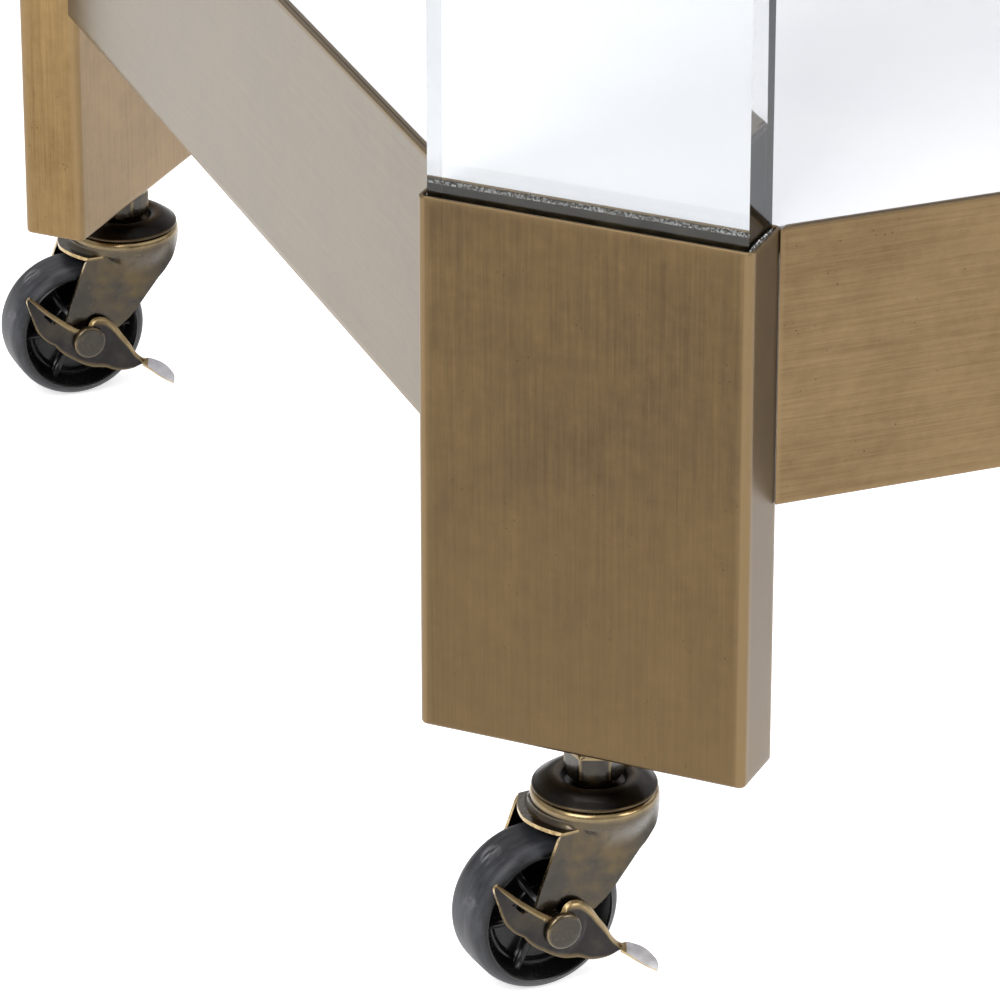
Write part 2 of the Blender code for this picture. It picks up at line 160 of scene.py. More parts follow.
# ---------------------------------------------------------------- materials
def brushed_brass(name, along, dark, light, rub_and_highlight_colour, coat=0.3, foot=None):
    """Antique brass brushed along one axis (0 X, 1 Y, 2 Z), with tarnish, pits, and rubbed edges whose
    brass also paints a highlight.
    foot is the colour toward the piece's own bottom, if that differs."""
    tree = Tree(name, Metallic=1.0, Coat_Weight=coat, Coat_Roughness=0.22)
    coarse, fine = [850.0] * 3, [3200.0] * 3
    coarse[along], fine[along] = 16.0, 70.0
    streaks = tree.noise(1.0, tree.place(coarse), detail=4.0, roughness=0.6)
    hairlines = tree.noise(1.0, tree.place(fine), detail=2.0)
    tarnish = tree.noise(14.0, detail=5.0, roughness=0.6)
    mottle = tree.noise(160.0, detail=4.0, roughness=0.7)
    blend = tree.maths("ADD", tree.maths("MULTIPLY", streaks, 0.24), tree.maths("MULTIPLY", tarnish, 0.40))
    blend = tree.maths("ADD", blend, tree.maths("MULTIPLY", mottle, 0.18))
    blend = tree.maths("ADD", blend, tree.maths("MULTIPLY", hairlines, 0.18))
    colour = tree.ramp(tree.spread(blend, 0.36, 0.64), (0.0, dark), (1.0, light))
    if foot:
        height = tree.node("ShaderNodeSeparateXYZ", {"Vector": tree.place()}).outputs["Z"]
        colour = tree.mix(tree.spread(height, 0.14, 0.0, 0.0, 0.5), colour, foot)
    cells = tree.node("ShaderNodeTexVoronoi", {"Vector": tree.place(), "Scale": 420.0}).outputs["Distance"]
    sparse = tree.spread(tree.noise(75.0, detail=2.0), 0.56, 0.66)
    pits = tree.maths("MULTIPLY", tree.spread(cells, 0.17, 0.08), sparse)
    colour = tree.mix(tree.maths("MULTIPLY", pits, 0.6), colour, srgb(34, 25, 14))
    # brass where edges are rubbed, also painting the highlight on the sleeve corners and rail edges
    colour = tree.mix(tree.maths("MULTIPLY", tree.wear_and_highlight(), 0.6), colour, rub_and_highlight_colour)
    tree.to_shader("Base Color", colour)
    tree.to_shader("Roughness", tree.spread(blend, 0.36, 0.64, 0.32, 0.44))
    brush = tree.bump(streaks, 0.00003, 0.4)
    brush = tree.bump(hairlines, 0.00002, 0.5, brush)
    tree.to_shader("Normal", tree.bump(pits, -0.00006, 0.6, brush))
    return tree.material


def tarnished_inside():
    """Dark unpolished brown of the sleeves' inner walls."""
    tree = Tree("sleeve_inside", Metallic=0.6, Roughness=0.5)
    stains = tree.noise(90.0, detail=4.0)
    tree.to_shader("Base Color", tree.ramp(tree.spread(stains, 0.3, 0.7), (0.0, srgb(52, 43, 28)),
                                           (1.0, srgb(84, 72, 50))))
    tree.to_shader("Normal", tree.bump(stains, 0.0001, 0.4))
    return tree.material


def dark_bronze(name, shades, rub_and_highlight_colour, roughness, coat):
    """Plated steel, tarnished through three shades and rubbed to brass where it is worn; the same brass
    paints highlights, as on the fork's cup, the cover's crest and the lever's flange.
    """
    tree = Tree(name, Metallic=1.0, Coat_Weight=coat, Coat_Roughness=0.10)
    patches = tree.noise(210.0, detail=4.0, roughness=0.6)
    clouds = tree.noise(45.0, detail=3.0)
    mixed = tree.maths("ADD", tree.maths("MULTIPLY", patches, 0.3), tree.maths("MULTIPLY", clouds, 0.7))
    low, middle, high = (srgb(*shade) for shade in shades)
    colour = tree.ramp(tree.spread(mixed, 0.34, 0.66), (0.0, low), (0.55, middle), (1.0, high))
    # brass where rubbed, and painted highlight where the mesh marks one
    rub_and_highlight = tree.maths("MULTIPLY", tree.wear_and_highlight(), tree.spread(patches, 0.25, 0.6, 0.7, 1.0))
    tree.to_shader("Base Color", tree.mix(rub_and_highlight, colour, srgb(*rub_and_highlight_colour)))
    tree.to_shader("Roughness", tree.spread(mixed, 0.3, 0.7, roughness, roughness + 0.14))
    scratches = tree.noise(1.0, tree.place((1500.0, 1500.0, 260.0)), detail=3.0)
    tree.to_shader("Normal", tree.bump(scratches, 0.00003, 0.5))
    return tree.material


def rubbed_edge():
    """Bright brass of a cut sheet edge."""
    tree = Tree("rubbed_edge", Metallic=1.0, Coat_Weight=0.3, Coat_Roughness=0.1)
    grain = tree.noise(700.0, detail=4.0)
    tree.to_shader("Base Color", tree.ramp(tree.spread(grain, 0.3, 0.7), (0.0, srgb(128, 104, 66)),
                                           (1.0, srgb(206, 182, 136))))
    tree.to_shader("Roughness", tree.spread(grain, 0.3, 0.7, 0.22, 0.36))
    tree.to_shader("Normal", tree.bump(grain, 0.00003, 0.5))
    return tree.material


def plain_steel(name, dark, light):
    """Grey plated steel."""
    tree = Tree(name, Metallic=1.0)
    grain = tree.noise(180.0, detail=5.0, roughness=0.65)
    tree.to_shader("Base Color", tree.ramp(tree.spread(grain, 0.3, 0.7), (0.0, dark), (1.0, light)))
    tree.to_shader("Roughness", tree.spread(grain, 0.3, 0.7, 0.32, 0.52))
    tree.to_shader("Normal", tree.bump(grain, 0.00004, 0.4))
    return tree.material


def wheel_plastic():
    """Black moulded plastic, dusty and scuffed on the tread and glossy inside the recesses."""
    tree = Tree("wheel_plastic", Specular_IOR_Level=0.32)
    dust = tree.noise(130.0, detail=5.0, roughness=0.7)
    smear = tree.noise(1.0, tree.place((90.0, 600.0, 90.0)), detail=3.0)
    scuffs = tree.spread(tree.noise(75.0, detail=6.0, roughness=0.75), 0.60, 0.68)
    tread = tree.wear_and_highlight()
    dusty = tree.ramp(tree.spread(tree.maths("ADD", dust, smear), 0.75, 1.25),
                      (0.0, srgb(28, 28, 31)), (1.0, srgb(58, 59, 64)))
    dusty = tree.mix(tree.maths("MULTIPLY", scuffs, 0.5), dusty, srgb(96, 96, 100))
    rub_and_highlight_centre = (14.8 * MM, -0.5 * MM, 20.5 * MM)      # one worn spot on the tread, also a painted highlight
    rub_and_highlight_distance = tree.node("ShaderNodeVectorMath", {0: tree.place(), 1: rub_and_highlight_centre},
                             operation="DISTANCE").outputs["Value"]
    rub_and_highlight = tree.maths("MULTIPLY", tree.spread(rub_and_highlight_distance, 4.2 * MM, 1.0 * MM),
                     tree.spread(smear, 0.42, 0.55))
    dusty = tree.mix(rub_and_highlight, dusty, srgb(136, 136, 139))
    tree.to_shader("Base Color", tree.mix(tread, srgb(9, 9, 10), dusty))
    tree.to_shader("Roughness", tree.maths("ADD", tree.maths("MULTIPLY", tread, 0.20),
                                           tree.spread(dust, 0.3, 0.7, 0.18, 0.30)))
    tree.to_shader("Normal", tree.bump(dust, 0.00006, 0.4))
    return tree.material


def clear_acrylic():
    """Polished cast acrylic with the faintest haze and waviness."""
    tree = Tree("clear_acrylic", Base_Color=srgb(250, 252, 252), Transmission_Weight=1.0, IOR=1.49)
    haze = tree.noise(220.0, detail=4.0)
    tree.to_shader("Roughness", tree.spread(haze, 0.45, 0.75, 0.0, 0.025))
    tree.to_shader("Normal", tree.bump(tree.noise(9.0, detail=1.0), 0.0001, 0.15))
    return tree.material


def adhesive():
    """Cured clear adhesive, white with trapped air."""
    tree = Tree("adhesive", IOR=1.45, Coat_Weight=0.4)
    bubbles = tree.noise(1500.0, detail=3.0)
    tree.to_shader("Base Color", tree.ramp(tree.spread(bubbles, 0.45, 0.60), (0.0, srgb(120, 112, 96)),
                                           (1.0, srgb(252, 252, 252))))
    tree.to_shader("Transmission Weight", tree.spread(bubbles, 0.50, 0.60, 1.0, 0.0))
    tree.to_shader("Roughness", tree.spread(bubbles, 0.3, 0.7, 0.12, 0.45))
    tree.to_shader("Normal", tree.bump(bubbles, 0.0002, 0.8))
    return tree.material


def white_glass():
    """White back-painted glass with a trace of dust and smudges."""
    tree = Tree("white_glass", Coat_Weight=1.0, Coat_Roughness=0.02, Specular_IOR_Level=0.5)
    smudge = tree.noise(7.0, detail=5.0, roughness=0.6)
    dust = tree.noise(900.0, detail=2.0)
    tree.to_shader("Base Color", tree.ramp(tree.spread(smudge, 0.35, 0.65), (0.0, srgb(244, 246, 252)),
                                           (1.0, srgb(250, 251, 255))))
    tree.to_shader("Roughness", tree.spread(dust, 0.35, 0.75, 0.05, 0.14))
    return tree.material


# brass of rubbed edges, also the painted highlight on sleeve corners and rail edges
BRASS_RUB_AND_HIGHLIGHT = srgb(130, 108, 76)
SLEEVE_BRASS = brushed_brass("sleeve_brass", 2, srgb(60, 45, 23), srgb(102, 82, 51), BRASS_RUB_AND_HIGHLIGHT,
                             foot=srgb(106, 86, 56))
# paler copy of the sleeve brass for the back left corner: painted brighter reflection
SLEEVE_BRASS_PAINTED_REFLECTION = brushed_brass("sleeve_brass_painted_reflection", 2, srgb(104, 80, 45), srgb(146, 120, 78),
                                  BRASS_RUB_AND_HIGHLIGHT)
LONG_RAIL_BRASS = brushed_brass("long_rail_brass", 0, srgb(92, 72, 44), srgb(128, 106, 74), BRASS_RUB_AND_HIGHLIGHT)
SHORT_RAIL_BRASS = brushed_brass("short_rail_brass", 1, srgb(78, 64, 42), srgb(116, 104, 82), BRASS_RUB_AND_HIGHLIGHT,
                                 coat=0.36)
INSIDE = tarnished_inside()
BRONZE = dark_bronze("dark_bronze", ((42, 39, 37), (60, 55, 48), (84, 71, 48)),
                     rub_and_highlight_colour=(186, 160, 112), roughness=0.20, coat=0.4)
# darker copy of the bronze for the bearing cover: painted shade for the dark sleeve bottom it reflects
COVER_BRONZE_PAINTED_SHADE = dark_bronze("cover_bronze_painted_shade", ((22, 20, 18), (34, 30, 27), (48, 41, 32)),
                          rub_and_highlight_colour=(120, 100, 70), roughness=0.30, coat=0.12)
LEVER_BRONZE = dark_bronze("lever_bronze", ((30, 28, 28), (44, 41, 40), (62, 56, 47)),
                           rub_and_highlight_colour=(158, 136, 96), roughness=0.26, coat=0.2)
EDGE = rubbed_edge()
STEEL = plain_steel("plain_steel", srgb(108, 106, 102), srgb(158, 156, 152))
LIGHT_GREY_STEEL = plain_steel("light_grey_steel", srgb(164, 162, 164), srgb(200, 198, 200))
PLASTIC = wheel_plastic()
ACRYLIC = clear_acrylic()
ADHESIVE = adhesive()
GLASS = white_glass()


# ---------------------------------------------------------------- mesh tools
def blend_between(first, last, share):
    """The value at a share of the way from first to last."""
    return first + (last - first) * share


def smooth_step(share):
    """Share clamped to 0 to 1, easing in and out."""
    share = min(max(share, 0.0), 1.0)
    return share * share * (3 - 2 * share)


def spline(points, steps):
    """Smooth open curve through 2-D or 3-D points, with that many steps between neighbours."""
    points = [Vector(p) for p in points]
    padded = [2 * points[0] - points[1]] + points + [2 * points[-1] - points[-2]]
    curve = []
    for a, b, c, d in zip(padded, padded[1:], padded[2:], padded[3:]):
        for i in range(steps):
            t = i / steps
            curve.append(0.5 * (2 * b + (c - a) * t + (2 * a - 5 * b + 4 * c - d) * t * t
                                + (3 * b - a - 3 * c + d) * t ** 3))
    return curve + [points[-1]]


def written(bm, name, sharp):
    """Write a bmesh to a mesh that is shaded smooth up to sharp degrees."""
    mesh = bpy.data.meshes.new(name)
    bm.to_mesh(mesh)
    bm.free()
    mesh.shade_smooth()
    mesh.set_sharp_from_angle(angle=radians(sharp))
    return mesh


def finished(bm, name, sharp=40):
    """Write a closed bmesh to a mesh with outward normals."""
    bmesh.ops.recalc_face_normals(bm, faces=bm.faces)
    return written(bm, name, sharp)


def lathe(name, profile, segments=96, axis="Z", wear_and_highlight=None, sharp=40):
    """Closed ring or solid from a closed (radius, height) profile. The mask function of (radius, height),
    for rubbing and painted highlight, gives 0 to 1.
    """
    bm = bmesh.new()
    layer = bm.verts.layers.float.new("wear_and_highlight")
    rings = []
    for radius, height in profile:
        ring = []
        for i in range(segments if radius > 1e-7 else 1):
            angle = 2 * pi * i / segments
            x, y = radius * cos(angle), radius * sin(angle)
            vert = bm.verts.new((x, y, height) if axis == "Z" else (x, height, -y))
            vert[layer] = wear_and_highlight(radius, height) if wear_and_highlight else 0.0
            ring.append(vert)
        rings.append(ring)
    for ring, after in zip(rings, rings[1:] + rings[:1]):
        if len(ring) == 1 and len(after) == 1:
            continue
        for i in range(segments):
            j = (i + 1) % segments
            face = [ring[i % len(ring)], ring[j % len(ring)], after[j % len(after)], after[i % len(after)]]
            bm.faces.new(list(dict.fromkeys(face)))      # three corners where a ring is one point
    return finished(bm, name, sharp)


def loft(bm, rings):
    """Quads between neighbouring rings of vertices."""
    for ring, after in zip(rings, rings[1:]):
        for i in range(len(ring)):
            j = (i + 1) % len(ring)
            bm.faces.new((ring[i], ring[j], after[j], after[i]))


def united(mesh, tool):
    """The mesh and the tool as one closed mesh."""
    target = bpy.data.objects.new("target", mesh)
    other = bpy.data.objects.new("tool", tool)
    for obj in (target, other):
        bpy.context.scene.collection.objects.link(obj)
    boolean = target.modifiers.new("boolean", "BOOLEAN")
    boolean.object = other
    boolean.operation = "UNION"
    boolean.solver = "EXACT"
    depsgraph = bpy.context.evaluated_depsgraph_get()
    depsgraph.update()
    result = bpy.data.meshes.new_from_object(target.evaluated_get(depsgraph))
    for obj in (target, other):
        bpy.data.objects.remove(obj, do_unlink=True)
    return result


def add_bevel(obj, width, segments=3, angle=30):
    """Round the edges sharper than angle degrees."""
    bevel = obj.modifiers.new("bevel", "BEVEL")
    bevel.width = width
    bevel.segments = segments
    bevel.limit_method = "ANGLE"
    bevel.angle_limit = radians(angle)
    bevel.harden_normals = True
    bevel.use_clamp_overlap = True


def add_piece(name, mesh, body, replaces=(), place=None, finishes=()):
    """Put a piece in the scene on its CAD body."""
    obj = bpy.data.objects.new(name, mesh)
    bpy.context.scene.collection.objects.link(obj)
    if place is not None:
        obj.matrix_world = place
    if not mesh.materials:
        for finish in finishes:
            mesh.materials.append(finish)
    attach(obj, body)
    if replaces:
        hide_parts(*replaces)
    return obj


# ---------------------------------------------------------------- sizes taken from the frame
def joint(name):
    """The frame's entry for a joint."""
    return next(j for j in frame["joints"] if j["name"] == name)


def sleeve_turn(corner):
    """Angle of a corner's wide face, across the diagonal of its corner."""
    front = corner.startswith("front")
    left = corner.endswith("left")
    return radians(-45 if front == left else 45)


def turned_box(node, angle):
    """Centre and size of a CAD node along axes turned by angle about Z."""
    turn = Matrix.Rotation(-angle, 3, "Z")
    points = [turn @ v.co for v in frame["nodes"][node].data.vertices]
    low = Vector(min(p[i] for p in points) for i in range(3))
    high = Vector(max(p[i] for p in points) for i in range(3))
    return turn.transposed() @ ((low + high) / 2), high - low


SLEEVE_WALL = 1.3 * MM
SLEEVE_RADIUS = 2.3 * MM
FORK_SHEET = 1.3 * MM
LEVER_SHEET = 1.2 * MM
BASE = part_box("lower_sleeve_front_left")[0].z          # bottom of the lower sleeves
WHEEL_RADIUS = (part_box("wheel_front_left")[1].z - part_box("wheel_front_left")[0].z) / 2


def caster_place(corner):
    """Matrix of a caster's own frame: origin on the swivel axis at the sleeve's bottom, +X to the
    side on which the wheel trails, +Y along the axle to the brake lever, +Z up."""
    side = Vector(joint(f"wheel_spin_{corner}")["axis"])
    trail = Vector((side.y, -side.x, 0.0))
    pivot = Vector(joint(f"swivel_{corner}")["pos_m"])
    place = Matrix((trail, side, Vector((0, 0, 1)))).transposed().to_4x4()
    place.translation = (pivot.x, pivot.y, BASE)
    return place


AXLE = caster_place("front_left").inverted() @ Vector(joint("wheel_spin_front_left")["pos_m"])


# ---------------------------------------------------------------- frame pieces
def rub_and_highlight_rectangle(width, depth, radius):
    """Outline of a rounded rectangle as (x, y, mark), with points beside the corners. The mark is 1 on the
    rounded corners, for rubbing and painted highlight.
    """
    arc_steps = 6
    near, far = 0.7 * MM, 2.2 * MM
    points = []
    for quarter in range(4):
        swap = quarter % 2
        half_x, half_y = (depth / 2, width / 2) if swap else (width / 2, depth / 2)
        turn = Matrix.Rotation(pi / 2 * quarter, 2)
        centre = Vector((half_x - radius, half_y - radius))
        side = [Vector((half_x, centre.y - far)), Vector((half_x, centre.y - near))]
        points += [(turn @ side[0], 0.0), (turn @ side[1], 0.3)]
        for i in range(arc_steps + 1):
            angle = pi / 2 * i / arc_steps
            points.append((turn @ (centre + radius * Vector((cos(angle), sin(angle)))), 1.0))
        points += [(turn @ Vector((centre.x - near, half_y)), 0.3),
                   (turn @ Vector((centre.x - far, half_y)), 0.0)]
    return [(p.x, p.y, wear_and_highlight) for p, wear_and_highlight in points]


def sleeve_profile(height):
    """(inset, height, mark) from the outer bottom edge, up and over the open rim, to the floor. The mark is
    rubbing and painted highlight on the rim and the foot's rounding.
    """
    lip, foot = 0.45 * MM, 1.5 * MM
    low = [(foot * (1 - sin(angle)), foot * (1 - cos(angle)), 0.45 * sin(2 * angle))
           for angle in (0.0, pi / 10, pi / 5, 3 * pi / 10, 2 * pi / 5, pi / 2)]
    low.append((0.0, 3.5 * MM, 0.0))
    high = [(0.0, height - 3 * MM, 0.0), (0.0, height - 1.0 * MM, 0.2), (0.0, height - lip, 0.9),
            (lip * 0.3, height - lip * 0.3, 1.0), (lip, height, 1.0), (SLEEVE_WALL - lip, height, 1.0),
            (SLEEVE_WALL - lip * 0.3, height - lip * 0.3, 0.4), (SLEEVE_WALL, height - lip, 0.0)]
    inside = [(SLEEVE_WALL, height - 6 * MM, 0.0), (SLEEVE_WALL, SLEEVE_WALL, 0.0)]
    return low + high + inside


def sleeve_mesh(size, upside_down):
    """Folded sleeve, open at one end, centred in plan with its lower end at zero."""
    width, depth, height = size
    bm = bmesh.new()
    layer = bm.verts.layers.float.new("wear_and_highlight")
    rings = []
    for inset, level, wear_and_highlight in sleeve_profile(height):
        radius = max(SLEEVE_RADIUS - inset, 0.4 * MM)
        z = height - level if upside_down else level
        ring = []
        for x, y, corner_rub_and_highlight in rub_and_highlight_rectangle(width - 2 * inset, depth - 2 * inset, radius):
            vert = bm.verts.new((x, y, z))
            vert[layer] = max(wear_and_highlight, corner_rub_and_highlight)
            ring.append(vert)
        rings.append(ring)
    loft(bm, rings)
    bm.faces.new(rings[0])
    bm.faces.new(rings[-1])
    hidden = set(rings[-1] + rings[-2] + rings[-3])
    for face in bm.faces:
        face.material_index = int(hidden.issuperset(face.verts))
    return finished(bm, "sleeve", sharp=50)


def adhesive_mesh(slab_size, room):
    """Uneven bead of adhesive round the slab, with a lumpy upper edge."""
    half_width, half_depth = slab_size.x / 2, slab_size.y / 2
    per_metre = 1400                    # sections along the bead
    outline = []
    corners = [(half_width, -half_depth), (half_width, half_depth),
               (-half_width, half_depth), (-half_width, -half_depth)]
    for start, end in zip(corners, corners[1:] + corners[:1]):
        start, end = Vector(start), Vector(end)
        count = max(int((end - start).length * per_metre), 4)
        along = (end - start).normalized()
        outward = Vector((along.y, -along.x))
        for i in range(count):
            outline.append((start.lerp(end, i / count), outward))
    bm = bmesh.new()
    rings = []
    for point, outward in outline:
        sunk = 1.3 * MM if outward.y < -0.5 else 0.0      # deeper on the side away from the shelf
        lump = noise.noise(Vector((point.x, point.y, 0.0)) * 900)
        gap = noise.noise(Vector((point.y, point.x, 3.0)) * 110)
        rise = (0.2 + 0.5 * lump + 0.7 * gap) * MM
        reach = room * (0.50 + 0.35 * noise.noise(Vector((point.x, point.y, 7.0)) * 1300))
        section = [(0.03 * MM, -1.2 * MM), (reach, -1.0 * MM), (reach, rise * 0.4 - 0.4 * MM),
                   (0.03 * MM, max(rise, -0.7 * MM))]
        rings.append([bm.verts.new((point.x + outward.x * out, point.y + outward.y * out, up - sunk))
                      for out, up in section])
    loft(bm, rings + rings[:1])
    return finished(bm, "adhesive_bead", sharp=60)


def build_sleeves():
    """Lower and upper sleeves and the adhesive at each slab's foot."""
    meshes = {}
    for corner in CORNERS:
        angle = sleeve_turn(corner)
        for tier in TIERS:
            node = f"{tier}_sleeve_{corner}"
            centre, size = turned_box(node, angle)
            if tier not in meshes:
                meshes[tier] = sleeve_mesh(size, upside_down=tier == "upper")
            place = Matrix.Translation(centre - Vector((0, 0, size.z / 2))) @ Matrix.Rotation(angle, 4, "Z")
            mesh, brass = meshes[tier], SLEEVE_BRASS
            if corner == "back_left":       # paler brass on this corner: painted brighter reflection
                mesh, brass = mesh.copy(), SLEEVE_BRASS_PAINTED_REFLECTION
                mesh.materials.clear()
            add_piece(f"{tier}_sleeve_brushed_{corner}", mesh, FRAME_BODY,
                      (node,), place, (brass, INSIDE))
        slab_centre, slab_size = turned_box(f"acrylic_leg_{corner}", angle)
        sleeve_centre, sleeve_size = turned_box(f"lower_sleeve_{corner}", angle)
        if "bead" not in meshes:
            room = (sleeve_size.y - slab_size.y) / 2 - SLEEVE_WALL
            meshes["bead"] = adhesive_mesh(slab_size, room)
        top = sleeve_centre.z + sleeve_size.z / 2 - 0.2 * MM
        inward = angle if corner.startswith("front") else angle + pi
        place = Matrix.Translation((slab_centre.x, slab_centre.y, top)) @ Matrix.Rotation(inward, 4, "Z")
        add_piece(f"adhesive_bead_{corner}", meshes["bead"], FRAME_BODY, (), place,
                  (ADHESIVE,))


def bevelled_copy(node, width):
    """The CAD node's mesh with all its edges rounded, and a mark along them for rubbing and a painted
    highlight line.
    """
    bm = bmesh.new()
    bm.from_mesh(frame["nodes"][node].data)
    bmesh.ops.remove_doubles(bm, verts=bm.verts, dist=1e-5)
    bmesh.ops.dissolve_limit(bm, angle_limit=radians(2), verts=bm.verts, edges=bm.edges)
    layer = bm.verts.layers.float.new("wear_and_highlight")
    bmesh.ops.inset_individual(bm, faces=list(bm.faces), thickness=5 * width, use_even_offset=True)
    borders = [e for e in bm.edges if len(e.link_faces) == 2
               and e.calc_face_angle(0.0) > radians(20)]
    rounded = bmesh.ops.bevel(bm, geom=borders, offset=width, segments=3, profile=0.5,
                              affect="EDGES", clamp_overlap=True)
    for vert in rounded["verts"]:
        vert[layer] = 1.0
    return finished(bm, node, sharp=50)


def build_rails():
    """Rails with rounded edges, rubbed and with a painted highlight, over the CAD's plain ones."""
    for tier in TIERS:
        for side in SIDES:
            node = f"{tier}_rail_{side}"
            finish = LONG_RAIL_BRASS if side in ("front", "back") else SHORT_RAIL_BRASS
            add_piece(f"{tier}_rail_brushed_{side}", bevelled_copy(node, 0.45 * MM), FRAME_BODY,
                      (node,), finishes=(finish,))


def refinish(node, finish, bevel=None):
    """Give a CAD node its material, and round its edges."""
    obj = frame["nodes"][node]
    obj.data.materials.clear()
    obj.data.materials.append(finish)
    if bevel:
        add_bevel(obj, bevel)


def finish_cad_nodes():
    """Materials for the CAD nodes that are shown as they are."""
    for tier in TIERS:
        refinish(f"{tier}_shelf", GLASS, 0.5 * MM)
        for side in ("front", "back"):
            refinish(f"{tier}_ledge_{side}", STEEL, 0.3 * MM)
    for corner in CORNERS:
        refinish(f"acrylic_leg_{corner}", ACRYLIC, 0.35 * MM)
        refinish(f"end_plate_{corner}", STEEL)
        refinish(f"ball_ring_{corner}", STEEL)


# ---------------------------------------------------------------- caster pieces
WEBS = 6                                # radial webs between the wheel's hub and rim
WEB_ENDS = (7.0 * MM, 19.3 * MM)        # a web's inner and outer radius
WEB_SIZE = (14.0 * MM, 1.8 * MM)        # its length along the axle and its thickness


def wheel_mesh():
    """Wheel about Y: crowned tread, round shoulders, stepped recess and hub on both sides."""
    half = 10.5 * MM
    outer = [(WHEEL_RADIUS, 0.0), (WHEEL_RADIUS - 0.02 * MM, 3.0 * MM),
             (WHEEL_RADIUS - 0.12 * MM, 5.6 * MM)]
    for i in range(1, 9):
        angle = radians(8 + 62 * i / 8)
        outer.append((WHEEL_RADIUS - 0.1 * MM - 5.2 * MM * (1 - cos(angle)),
                      5.0 * MM + 5.5 * MM * sin(angle)))
    rim = [(21.6 * MM, half - 0.05 * MM), (21.2 * MM, half - 0.2 * MM), (20.9 * MM, half - 0.7 * MM)]
    cone = [(19.6 * MM, 8.0 * MM), (18.6 * MM, 5.6 * MM), (18.2 * MM, 5.0 * MM)]
    step = [(17.6 * MM, 4.8 * MM), (17.0 * MM, 4.6 * MM), (16.6 * MM, 4.0 * MM)]
    floor = [(15.8 * MM, 3.6 * MM), (12.0 * MM, 3.3 * MM), (9.4 * MM, 3.3 * MM), (8.6 * MM, 3.8 * MM)]
    hub = [(8.2 * MM, 5.0 * MM), (8.0 * MM, 11.8 * MM), (7.6 * MM, 12.3 * MM), (4.4 * MM, 12.4 * MM)]
    side = outer + rim + cone + step + floor + hub
    profile = side + [(r, -y) for r, y in reversed(side[1:])]

    def wear_and_highlight(radius, height):
        return smooth_step((radius - 21.8 * MM) / (1.6 * MM))
    wheel = lathe("wheel", profile, 128, "Y", wear_and_highlight=wear_and_highlight, sharp=50)
    reach = WEB_ENDS[1] - WEB_ENDS[0]
    shape = Matrix.Translation((WEB_ENDS[0] + reach / 2, 0, 0)) @ Matrix.Diagonal((reach, *WEB_SIZE, 1.0))
    for i in range(WEBS):
        turn = Matrix.Rotation(2 * pi * i / WEBS, 4, "Y")
        bm = bmesh.new()
        bmesh.ops.create_cube(bm, size=1.0)
        bmesh.ops.transform(bm, matrix=turn @ shape, verts=bm.verts)
        wheel = united(wheel, finished(bm, "web"))
    return wheel


def cover_mesh():
    """Domed bearing cover with a recess round the hexagon and a rolled rim."""
    top = spline([(9.3, -13.2), (9.8, -12.4), (10.4, -11.2), (12.2, -10.5), (14.6, -10.9), (16.9, -12.1),
                  (18.5, -13.3), (19.1, -13.7)], 5)
    rim = [(19.35, -13.9), (19.45, -14.2), (19.35, -14.55), (19.1, -14.7)]
    under = [(17.9, -14.7), (15.4, -13.0), (12.4, -12.3), (11.2, -13.6), (10.6, -14.5), (5.3, -14.6),
             (5.3, -13.2)]
    profile = [(r * MM, z * MM) for r, z in [tuple(p) for p in top] + rim + under]

    def wear_and_highlight(radius, height):
        # painted highlight on the rim and along the dome's crest
        on_rim = 0.35 * smooth_step((radius - 18.9 * MM) / (0.4 * MM))
        on_crest = 0.24 * smooth_step(1 - abs(radius - 12.2 * MM) / (2.6 * MM))
        return max(on_rim, on_crest)
    return lathe("bearing_cover", profile, 128, wear_and_highlight=wear_and_highlight, sharp=55)


def hexagon_radius(angle, across_corners, turn):
    """Distance from the axis to a hexagon's side in a direction."""
    sector = (angle - turn) % (pi / 3) - pi / 6
    return across_corners * cos(pi / 6) / cos(sector)


def stem_mesh():
    """Stem with a washer face, a chamfered hexagon, a collar and a riveted lower end."""
    across, turn = 9.5 * MM, radians(32.5)      # the hexagon's corner radius and its turn
    hexagon_low, hexagon_high = -10.9, -1.2
    levels = [(14.8, 4.2, 0.0), (14.0, 5.0, 0.0), (0.2, 5.0, 0.0), (-0.1, 9.0, 0.3), (-0.9, 9.0, 0.4),
              (-1.1, 8.6, 0.4), (-1.25, 8.75, 0.3), (-2.2, 9.5, 0.5), (-2.6, 9.6, 0.0), (-9.2, 9.6, 0.0),
              (-9.9, 9.0, 0.2), (-10.8, 8.3, 0.4), (-11.0, 7.6, 0.2), (-12.9, 6.6, 0.0), (-12.9, 5.0, 0.0),
              (-22.2, 5.0, 0.0), (-22.2, 7.2, 0.2), (-23.2, 7.0, 0.3), (-24.0, 5.0, 0.2)]
    bm = bmesh.new()
    layer = bm.verts.layers.float.new("wear_and_highlight")
    rings = []
    segments = 72
    for z, radius, wear_and_highlight in levels:
        on_hexagon = hexagon_low < z < hexagon_high
        ring = []
        for i in range(segments):
            angle = turn + 2 * pi * i / segments
            reach = min(radius * MM, hexagon_radius(angle, across, turn)) if on_hexagon else radius * MM
            vert = bm.verts.new((reach * cos(angle), reach * sin(angle), z * MM))
            at_corner = on_hexagon and i % (segments // 6) == 0
            vert[layer] = max(wear_and_highlight, 0.35 if at_corner else 0.0)
            ring.append(vert)
        rings.append(ring)
    loft(bm, rings)
    bm.faces.new(rings[0])
    bm.faces.new(rings[-1])
    return finished(bm, "stem", sharp=25)


